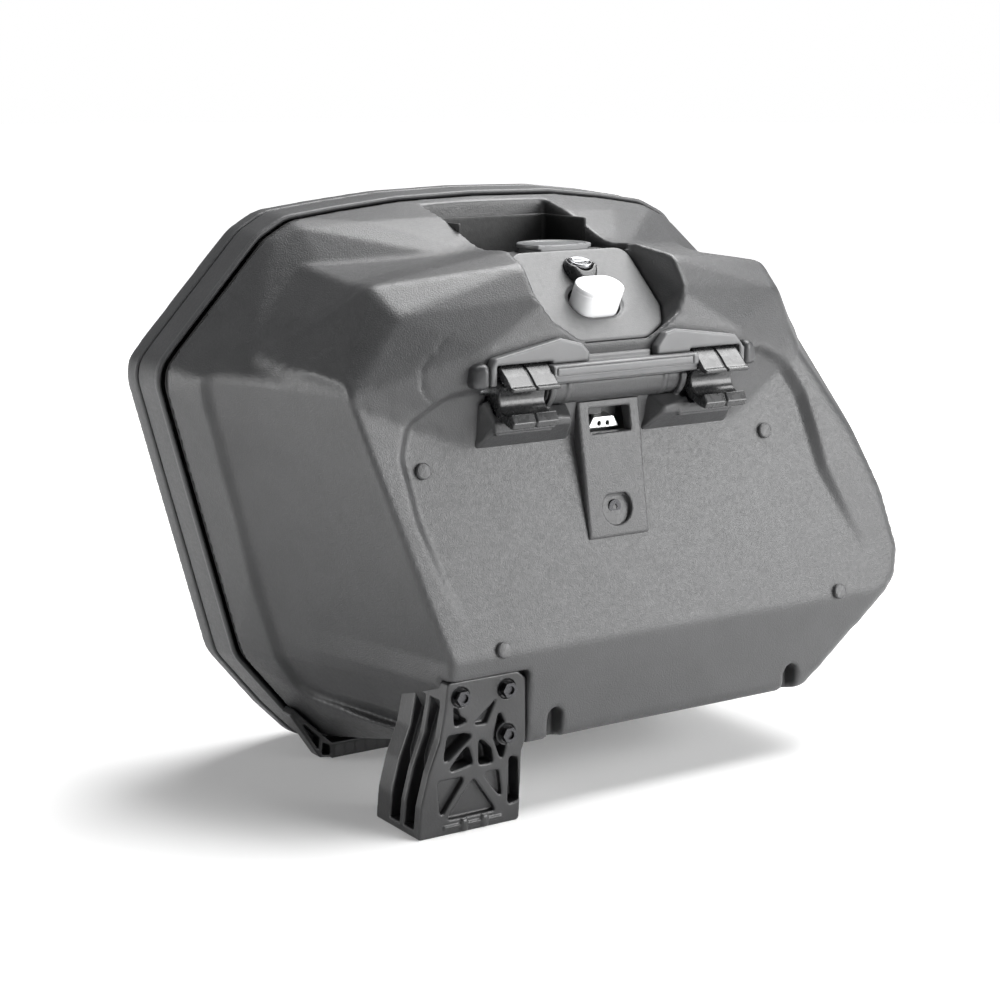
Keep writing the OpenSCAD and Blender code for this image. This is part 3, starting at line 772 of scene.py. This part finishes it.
def build_lock():
    """Teardrop boss that carries the key barrel, and the barrel with its slot."""
    clay = Clay((-15, -22, -13), (15, 15, 9), 0.6)
    around = np.hypot(clay.x, clay.y)
    ring = around - (KEY_D + 4.6) / 2
    tail = np.hypot(clay.x, clay.y + 9) - 6
    outline = join(ring, tail, 9)
    slope = clay.z - 6.6 - np.minimum(0, clay.y + 6) * 0.75
    boss = overlap(thick(outline, clay.z, -12, 9, 0.5), slope, 1.6)
    boss = carve(boss, overlap(around - KEY_D / 2 - 0.5, -(clay.z - 3.6)), 0.8)
    boss = carve(boss, around - KEY_D / 2 + 1.4)
    cast(clay, boss, "lock_housing", "jaw", "lock_boss",
         place=place_leaning(KEY_AT, KEY_TILT))
    barrel = join(thick(around - KEY_D / 2, clay.z, 4.3, 7.5, 0.9), thick(around - 7, clay.z, -11, 5, 0.4))
    barrel = carve(barrel, overlap(around - 6.6, band(clay.z, 6.9, 12)), 0.5)
    slot = np.maximum(band(clay.x, -4.6, 4.6), band(clay.y, -0.9, 0.9))
    barrel = carve(barrel, np.maximum(slot, band(clay.z, 0, 12)), 0.4)
    cast(clay, barrel, "lock_cylinder", "chrome", "key_barrel",
         body="key", place=place_leaning(KEY_AT, KEY_TILT))


def build_handle():
    """Grip between the lock cover and the finger pocket, with a plain round badge let into it."""
    clay = Clay((-52, -52, 336), (52, -4, 376), 1.0)
    side = [(-47.4, 342), (-47.4, 369.5), (-44, 370), (-14, 370, 8), (-7.4, 362, 8), (-7.4, 341, 4),
            (-14, 339, 4), (-16, 342)]
    bar = thick(clay.yz(with_arcs(side, 1.5)), clay.x, -49, 49, 2.5)
    bar = carve(bar, thick(clay.yz([(-60, 330), (-60, 362), (-40, 366), (-18, 366), (-12, 358), (-12, 345),
                                    (-16, 330)]), clay.x, -45.5, 45.5, 2))
    badge = np.hypot(clay.x, clay.y - BADGE_Y) - BADGE_R - 0.4
    bar = carve(bar, overlap(badge, -(clay.z - 369.2)), 0.5)
    # The grip takes the near-black pocket material: painted shade of the hollow it sits in.
    cast(clay, bar, "grip_bar", "pocket", "carry_handle")
    clay = Clay((-30, -50, 366), (30, -4, 379), 0.6)
    around = np.hypot(clay.x, clay.y - BADGE_Y)
    foot = thick(around - BADGE_R + 2, clay.z, 368.6, 374, 0.4)
    disc = join(thick(around - BADGE_R, clay.z, 373.4, 376.4, 0.6), foot, 0.5)
    disc = carve(disc, np.maximum(np.abs(around - 21.5) - 0.6, -(clay.z - 375.8)), 0.4)
    disc = carve(disc, np.maximum(around - 17, -(clay.z - 375.9)), 0.5)
    disc = overlap(disc, -(clay.y + 47.2))
    cast(clay, disc, "plain_badge", "disc", "handle_disc")


def build_pocket():
    """Liner of the finger pocket, coloured near black as painted shade of the hollow, low in front so that
    the fingers reach over the grip.
    """
    clay = Clay((-58, -10, 330), (58, 62, 394), 1.0)
    outer = clay.box((-55, -7, 333), (55, 58, 420), 2)
    inner = clay.box((-52, -4, 336), (52, 55, 430), 3)
    liner = carve(overlap(outer, clay.z - 389.5, 1), inner, 0.8)
    liner = carve(liner, overlap(clay.y - 4, -(clay.z - 352), 2), 1)
    cast(clay, liner, "finger_pocket", "pocket", "handle_pocket")


# ---------------------------------------------------------------- hooks

TRIM = [
    (-29, 304), (-27, 311), (-33, 317.5), (-50, 322), (-102, 312), (-105, 306), (-105, 294),
    (-100.5, 294), (-100.5, 307.5), (-57, 307.5), (-57, 291), (57, 291), (57, 307.5), (100.5, 307.5),
    (100.5, 294), (105, 294), (105, 305), (97, 314.5), (45, 322), (36, 320), (29, 311), (29, 304),
]
TRIM_FOOT = [(-26, 300), (-26, 309), (27, 309), (27, 300)]


def build_trim():
    """Trim plate round the hooks, the bar below it and the plain strip let into the bar."""
    clay = Clay((-108, -126, 288), (108, -102, 326), 0.9)
    flat = clay.xz(with_arcs(TRIM, 1.6))
    plate = thick(flat, clay.y, -117, -109, 1.1)
    plate = join(plate, thick(clay.xz(TRIM_FOOT), clay.y, -112, -104, 1), 1)
    plate = carve(plate, clay.box((-58.5, -130, 289), (58.5, -113.2, 305.4), 0.4))
    cast(clay, plate, "hook_trim", "trim", "trim_plate")
    clay = Clay((-64, -127, 289), (64, -111, 308), 0.7)
    side = [(-123, 297.5, 1), (-123, 304, 1), (-121, 305.2, 1), (-114, 305.2), (-114, 293.4),
            (-119, 292.6, 1.5), (-121.5, 294, 1.5), (-121.8, 296.8)]
    bar = thick(clay.yz(with_arcs(side, 0.4)), clay.x, -60, 60, 0.8)
    bar = carve(bar, clay.box((-57.8, -130, 297.6), (55.8, -121.9, 303.8), 0.6), 0.3)
    cast(clay, bar, "hook_bar", "trim", "cross_bar")
    clay = Clay((-60, -125, 295), (60, -118, 307), 0.6)
    strip = clay.box((-57, -122.9, 298.4), (55, -121.2, 303), 0.5)
    cast(clay, strip, "plain_inlay", "strip", "plain_strip")


def build_upper_jaw(side):
    """Fixed jaw above a hook: an S-shaped lip in two halves with a groove between them."""
    x = side * HOOK_X
    clay = Clay((x - 22, -134, 278), (x + 22, -81, 310), 0.7)
    lip = [(-82.5, 301), (-103, 301, 3), (-112, 299.6, 4), (-120, 295, 4), (-127, 291.2, 2), (-131, 291.2, 1),
           (-131.5, 293.6, 1), (-128, 294.6, 3), (-122, 300.5, 5), (-115, 306.2, 5), (-108, 307, 2),
           (-82.5, 307)]
    flat = clay.yz(with_arcs(lip, 1))
    jaw = thick(flat, clay.x, x - 19, x + 19, 0.9)
    step = band(clay.x, x - 0.9, x + 0.9)
    jaw = carve(jaw, np.maximum(step, -(flat + 1.3)), 0.4)
    tongue = thick(flat + 1.2, clay.x, x + 3, x + 15, 0.5)
    jaw = join(jaw, tongue, 0.3)
    for edge in (-17.8, 17.8):
        jaw = join(jaw, clay.box((x + edge - 1.2, -87.6, 281), (x + edge + 1.2, -82.2, 303), 0.5), 1)
    name = SIDES[side]
    cast(clay, jaw, "jaw_upper_" + name, "jaw", "upper_jaw_" + name)


def build_lower_claw(side):
    """Turning claw: a rolled hub and a lip that reaches under the rack tube."""
    x = side * HOOK_X
    clay = Clay((x - 21, -133, 263), (x + 21, -85, 303), 0.7)
    lip = [(-99, 298.4, 3), (-111, 297, 4), (-118.6, 293.6, 2), (-119, 284), (-127.2, 276.8, 1),
           (-130.5, 270.5, 1), (-129, 266.6, 1), (-124, 267.4, 3), (-112, 271.5, 8), (-99, 281)]
    around = np.hypot(clay.y - SHAFT_Y, clay.z - SHAFT_Z)
    flat = np.minimum(clay.yz(with_arcs(lip, 1)), around - 9)
    claw = thick(flat, clay.x, x - 18, x + 18, 0.8)
    claw = carve(claw, np.hypot(clay.y + 122, clay.z - 284) - 9, 0.5)
    claw = carve(claw, np.maximum(band(clay.x, x - 0.7, x + 0.7), -(flat + 1.2)), 0.4)
    claw = carve(claw, around - 5)
    name = SIDES[side]
    cast(clay, claw, "claw_" + name, "jaw", "lower_claw_" + name, body="claws")


def build_housing(side):
    """Wedge below a hook, with a framed tray let into its top."""
    clay = Clay((22, -122, 244), (112, -80, 300), 0.8)
    y = face_y(250)
    corners = [(31, y, 250), (31, -87, 250), (105, y, 250), (105, -87, 250), (39, -112, 264), (98, -112, 264),
               (39, -113, 268), (99, -113, 268), (47, -112, 270), (31, -92, 270), (31, -86, 284),
               (106, -92, 284), (106, -86, 284), (104, -104, 284)]
    block = clay.hull(corners, 1.6)
    block = carve(block, clay.box((56, -109, 262), (98.6, -70, 300), 1.2), 0.8)
    block = carve(block, clay.box((60, -120, 266.5), (93, -100, 300), 1.2), 0.8)
    tray = [(52, -110.6), (58, -98), (97, -98), (98, -110.6)]
    rim = clay.xy(with_arcs([(50, -114), (50, -106), (57, -96), (98, -96), (101, -106), (101, -114)], 2))
    ridge = thick(np.abs(rim + 2.4) - 0.8, clay.z, 262, 269.6, 0.5)
    block = join(block, overlap(ridge, clay.y + 98), 0.8)
    inlet = thick(clay.xy(with_arcs(tray, 2)), clay.z, 260, 265, 0.5)
    block = join(block, inlet, 0.6)
    block = carve(block, clay.box((60, -106, 262.5), (94, -101, 268), 0.8), 0.5)
    saddle = np.hypot(clay.y - SHAFT_Y, clay.z - SHAFT_Z)
    block = carve(block, overlap(saddle - TUBE_R - 0.4, clay.x - 58), 0.5)
    block = carve(block, overlap(saddle - 10.2, -(clay.x - 58)), 0.5)
    flange = overlap(thick(np.abs(saddle - 16.2) - 1.4, clay.x, 52, 56.5, 0.8), clay.z - 291)
    block = join(block, flange, 1.2)
    mirror = np.array([side, 1, 1])
    name = SIDES[side]
    cast(clay, block, "hook_base_" + name, "shell", "hook_housing_" + name,
         place=lambda spots: spots * mirror)


def build_end_cap(side):
    """Rounded block that closes an end of the trim plate."""
    clay = Clay((102, -122, 286), (122, -92, 316), 0.7)
    cap = clay.hull([(105.4, -118, 292), (105.4, -118, 310), (105.4, -96, 311), (105.4, -96, 292),
                     (118, -115, 292.5), (116, -114, 307), (117, -97, 306), (118, -97, 293)], 3.4)
    mirror = np.array([side, 1, 1])
    name = SIDES[side]
    cast(clay, cap, "trim_end_" + name, "cap", "end_cap_" + name,
         place=lambda spots: spots * mirror)


def build_tube():
    """Rolled cover over the claw shaft, with a saddle behind it."""
    clay = Clay((-62, -116, 272), (62, -78, 308), 0.9)
    reach = HOOK_X - HOOK_W / 2 - 2
    roll = clay.rod_x(SHAFT_Y, SHAFT_Z, TUBE_R, -reach, reach, 0.8)
    roll = join(roll, clay.box((-reach, -97, 280), (reach, -83, 300), 1), 1)
    for x in (-40, 40):
        ring = clay.rod_x(SHAFT_Y, SHAFT_Z, TUBE_R + 0.7, x - 2, x + 2, 0.6)
        roll = join(roll, ring, 0.8)
    roll = carve(roll, clay.box((-70, -140, 291), (70, -110.6, 320)))
    roll = carve(roll, np.hypot(clay.y - SHAFT_Y, clay.z - SHAFT_Z) - 5.1)
    cast(clay, roll, "shaft_cover", "shell", "shaft_tube")


def build_channel():
    """Raised tongue below the bar with a catch window and a sunk screw seat."""
    clay = Clay((-30, -122, 178), (30, -86, 282), 0.8)
    cover = clay.hull([(-26, -99.5, 280), (26, -99.5, 280), (-26, -88, 280), (26, -88, 280), (-25, -116, 182),
                       (25, -116, 182), (-25, -112, 182), (25, -112, 182)], 1.2)
    cover = overlap(cover, (clay.y - face_y(0) - clay.z * math.tan(LEAN)) * math.cos(LEAN))
    cover = join(cover, clay.rod_y(0, SCREW_Z, 15, -110, -104.5))
    cover = carve(cover, clay.box((-17, -130, 253), (17, -70, 270), 0.8), 0.8)
    seat = np.maximum(np.hypot(clay.x, clay.z - SCREW_Z) - 12, clay.z - SCREW_Z - 9.5)
    cover = carve(cover, overlap(seat, clay.y + 107, 0.6), 0.7)
    cover = carve(cover, clay.rod_y(0, SCREW_Z, 3.3, -130, -90))
    cover = carve(cover, clay.rod_x(SHAFT_Y, SHAFT_Z, TUBE_R + 0.3, -40, 40))
    cast(clay, cover, "channel_plate", "shell", "channel_cover")
    clay = Clay((-20, -100, 236), (20, -78, 280), 0.6)
    slider = clay.box((-16, -88, 240), (16, -82, 276), 1)
    slider = join(slider, clay.box((-16, -92, 264), (1, -86, 276), 0.8), 0.5)
    cast(clay, slider, "catch_block", "dark", "catch_slider", body="catch")
    clay = Clay((-16, -98, 251), (16, -86, 266), 0.5)
    front = clay.xz(with_arcs([(-13, 254.6), (13, 254.6), (8.5, 262.4, 1.5), (-8.5, 262.4, 1.5)], 0.4))
    plate = thick(front, clay.y, -94.8, -92.8, 0.3)
    shelf = clay.hull([(-8, -94.8, 262.2), (8, -94.8, 262.2), (-6, -88.3, 265), (6, -88.3, 265),
                       (-8, -94.8, 260), (8, -94.8, 260), (6, -88.3, 255), (-6, -88.3, 255)], 0.5)
    plate = join(plate, shelf, 0.4)
    for x in (-3.5, 3.5):
        plate = carve(plate, clay.rod_y(x, 257.6, 1.5, -100, -91.5), 0.3)
    cast(clay, plate, "catch_plate", "tongue", "catch_tongue", body="catch")


def build_pads():
    """Four round stand-off pads on the leaning panel."""
    spots = []
    faces = []
    profile = [(0.01, -1), (5.5, -1), (5.5, 1.9), (5.1, 2.5), (4.4, 2.7), (0.01, 2.7)]
    turns = 32
    for x, z in PADS:
        base = len(spots)
        for radius, lift in profile:
            for k in range(turns):
                a = 2 * math.pi * k / turns
                up = radius * math.sin(a)
                y = face_y(z) + up * math.sin(LEAN) - lift * math.cos(LEAN)
                level = z + up * math.cos(LEAN) + lift * math.sin(LEAN)
                spots.append((x + radius * math.cos(a), y, level))
        for i in range(len(profile) - 1):
            for k in range(turns):
                a = base + i * turns + k
                b = base + i * turns + (k + 1) % turns
                faces.append((a, b, b + turns, a + turns))
    mesh = make_mesh("stand_off_pads", spots, faces)
    add_piece("stand_off_pads", mesh, MATERIALS["shell"], "root", ["panel_pads"])


# ---------------------------------------------------------------- support foot

FOOT = [
    (-146, 104, 3), (-91, 104, 5), (-84.5, 98, 3), (-84.5, 56, 3), (-88, 48, 3), (-90, 0, 3), (-169, 0, 2),
    (-167, 22, 30), (-161, 44, 20), (-152, 66, 20), (-148, 86, 10),
]
DEEP_POCKETS = [
    [(-141, 92), (-136, 80), (-130, 76), (-141, 73)],
    [(-146, 68), (-134, 68), (-126, 66), (-150, 48)],
    [(-130, 60), (-126, 46), (-148, 42)],
    [(-122, 64), (-112, 54), (-110, 44), (-122, 44)],
    [(-106, 82), (-110, 60), (-104, 42), (-98, 62)],
    [(-98, 46), (-91, 44), (-90, 14), (-99, 12)],
]
SHALLOW_POCKETS = [
    [(-154, 38), (-132, 38), (-152, 12)],
    [(-126, 36), (-108, 10), (-148, 10)],
    [(-119, 38), (-106, 38), (-103, 16)],
    [(-127, 72), (-112, 84), (-108, 88), (-116, 72)],
]


def build_foot():
    """Ribbed foot: a face with lobed pockets, two channels up its outer side and a base."""
    clay = Clay((-173, -131, -3), (-80, -68, 108), 0.8)
    outline = clay.xz(with_arcs(FOOT, 3))
    body = thick(outline, clay.y, FOOT_Y, -71, 1)
    body = carve(body, np.maximum(-(clay.y + 112), -(clay.x + 128)), 1)
    groove_floor = 0.34 * np.maximum(clay.z - 50, 0) - 152
    for low, high in ((-119, -107), (-101, -89)):
        groove = np.maximum(band(clay.y, low, high), band(clay.z, 6, 90))
        body = carve(body, np.maximum(groove, clay.x - groove_floor), 1.2)
    for points in DEEP_POCKETS:
        body = carve(body, thick(clay.xz(with_arcs(points, 3)), clay.y, -140, -115, 1), 1)
    for points in SHALLOW_POCKETS:
        body = carve(body, thick(clay.xz(with_arcs(points, 2.5)), clay.y, -140, -122.5, 0.8), 0.8)
    for x, z in FOOT_BOLTS:
        seat = np.hypot(clay.x - x, clay.z - z)
        body = join(body, thick(seat - 8, clay.y, -127, -122, 0.5), 0.5)
        body = carve(body, np.maximum(seat - 6.8, clay.y + 125.6), 0.4)
        body = carve(body, seat - 3.1)
    for x in (-134, -118):
        tab = clay.hull([(x - 3, -128.6, 0.2), (x + 3, -128.6, 0.2), (x - 3, -128.6, 9), (x + 3, -128.6, 9),
                         (x - 3, -122, 0.2), (x + 3, -122, 0.2), (x - 3, -122, 10), (x + 3, -122, 10)], 1)
        body = join(body, tab, 0.4)
    body = join(body, clay.box((-150, -128, 4), (-104, -122, 6.4), 0.8), 0.5)
    cast(clay, body, "foot_bracket", "foot", "support_foot")


GUSSET = [(-167, 38), (-143, 2), (-131, 0.4), (-60, 0.4), (-60, 11), (-133, 12), (-163, 42)]
GUSSET_POCKETS = [
    [(-158, 32), (-144, 8), (-143, 17)],
    [(-140.5, 13), (-141, 4), (-134.5, 3), (-134.5, 9.5)],
]
RAIL_PITCH = 9
RAIL_GAP = 6


def build_rail_corner():
    """Webbed gusset at the end of the hinge rail, and the ribs along its front."""
    clay = Clay((-176, 48, -2), (-58, 74, 46), 0.8)
    web = thick(clay.xz(with_arcs(GUSSET, 0.8)), clay.y, 56, 69.6, 0.7)
    for pocket in GUSSET_POCKETS:
        web = carve(web, thick(clay.xz(with_arcs(pocket, 0.8)), clay.y, 40, 66, 0.5), 0.5)
    for x in range(-130, -60, RAIL_PITCH):
        end = x + RAIL_GAP
        tooth = clay.hull([(x, 50, 2.4), (end, 50, 2.4), (x, 50, 8), (end, 50, 8),
                           (x, 60, 2.4), (end, 60, 2.4), (x, 60, 9), (end, 60, 9)], 0.6)
        web = carve(web, tooth, 0.4)
    cast(clay, web, "rail_gusset", "dark", None)


# ---------------------------------------------------------------- stage

def aim(thing, target):
    """Turns a light or camera towards a point."""
    thing.rotation_euler = (Vector(target) - thing.location).to_track_quat("-Z", "Y").to_euler()


def add_light(name, place, width, height, power):
    """Soft rectangular light turned to the middle of the case; power in watts."""
    data = bpy.data.lights.new(name, "AREA")
    data.shape = "RECTANGLE"
    data.size = width
    data.size_y = height
    data.energy = power
    light = bpy.data.objects.new(name, data)
    bpy.context.scene.collection.objects.link(light)
    light.location = place
    aim(light, LIGHT_AIM)


CAMERA_AT = (-0.8649, -1.2942, 0.5087)
CAMERA_AIM = (-0.01492, 0.012, 0.1872)
LIGHT_AIM = (0, -0.03, 0.2)
FLOOR_R = 14


def add_camera():
    """Camera at the photograph's angle."""
    data = bpy.data.cameras.new("camera")
    data.lens = 78.75
    data.sensor_width = 36
    data.clip_end = 100
    camera = bpy.data.objects.new("camera", data)
    bpy.context.scene.collection.objects.link(camera)
    camera.location = CAMERA_AT
    aim(camera, CAMERA_AIM)
    bpy.context.scene.camera = camera


def add_floor():
    """Plain pale floor."""
    bpy.ops.mesh.primitive_circle_add(vertices=96, radius=FLOOR_R, fill_type="NGON", location=(0, 0, 0))
    floor = bpy.context.object
    floor.name = "studio_floor"
    floor.data.materials.append(floor_material())


def add_world():
    """Dim room with a pale band round the horizon."""
    world = bpy.data.worlds.new("studio")
    bpy.context.scene.world = world
    world.use_nodes = True
    nodes = world.node_tree.nodes
    links = world.node_tree.links
    where = nodes.new("ShaderNodeTexCoord")
    split = nodes.new("ShaderNodeSeparateXYZ")
    links.new(where.outputs["Generated"], split.inputs[0])
    ramp = nodes.new("ShaderNodeValToRGB")
    ramp.color_ramp.elements[0].position = 0.04
    ramp.color_ramp.elements[0].color = (1, 1, 1, 1)
    ramp.color_ramp.elements[1].position = 0.22
    ramp.color_ramp.elements[1].color = (0.1, 0.1, 0.1, 1)
    links.new(split.outputs["Z"], ramp.inputs["Fac"])
    links.new(ramp.outputs["Color"], nodes["Background"].inputs["Color"])
    nodes["Background"].inputs["Strength"].default_value = 1.0


def add_stage():
    """Camera, floor, room and soft lights."""
    bpy.context.scene.view_settings.view_transform = "Standard"
    add_camera()
    add_floor()
    add_world()
    add_light("key_overhead", (0.7, 0.1, 1.8), 1.8, 1.5, 88)
    add_light("front_right", (1.3, -1.7, 0.75), 1.5, 1.1, 56)
    add_light("left_strip", (-1.6, 0.7, 0.35), 0.5, 1.1, 14)


# ---------------------------------------------------------------- CAD nodes that stay

def finish_node(name, material, edge):
    """Gives a CAD node its material, and rounds its sharp edges."""
    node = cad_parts[name]
    node.data.materials.clear()
    node.data.materials.append(MATERIALS[material])
    bevel = node.modifiers.new("soft_edges", "BEVEL")
    bevel.width = edge * MM
    bevel.segments = 2
    bevel.limit_method = "ANGLE"
    bevel.angle_limit = math.radians(35)


def finish_nodes():
    """Materials of the CAD nodes that keep their shape."""
    for name in ("channel_screw", "foot_bolts"):
        finish_node(name, "black_steel", 0.3)
    for name in ("hinge_pin", "claw_shaft", "button_spring"):
        finish_node(name, "steel", 0.3)
    finish_node("foot_nuts", "black_steel", 0.5)
    finish_node("lid_striker", "steel", 0.4)
    for name in ("hinge_rail", "lid_foot", "lid_hinge_leaf", "lid_latch"):
        finish_node(name, "dark", 0.5)


build_shell()
build_lid_frame()
build_lid_cover()
build_gasket()
build_lock_cover()
build_button()
build_lock()
build_handle()
build_pocket()
build_trim()
build_tube()
build_channel()
build_pads()
for hook_side in SIDES:
    build_upper_jaw(hook_side)
    build_lower_claw(hook_side)
    build_housing(hook_side)
    build_end_cap(hook_side)
build_foot()
build_rail_corner()
finish_nodes()
add_stage()
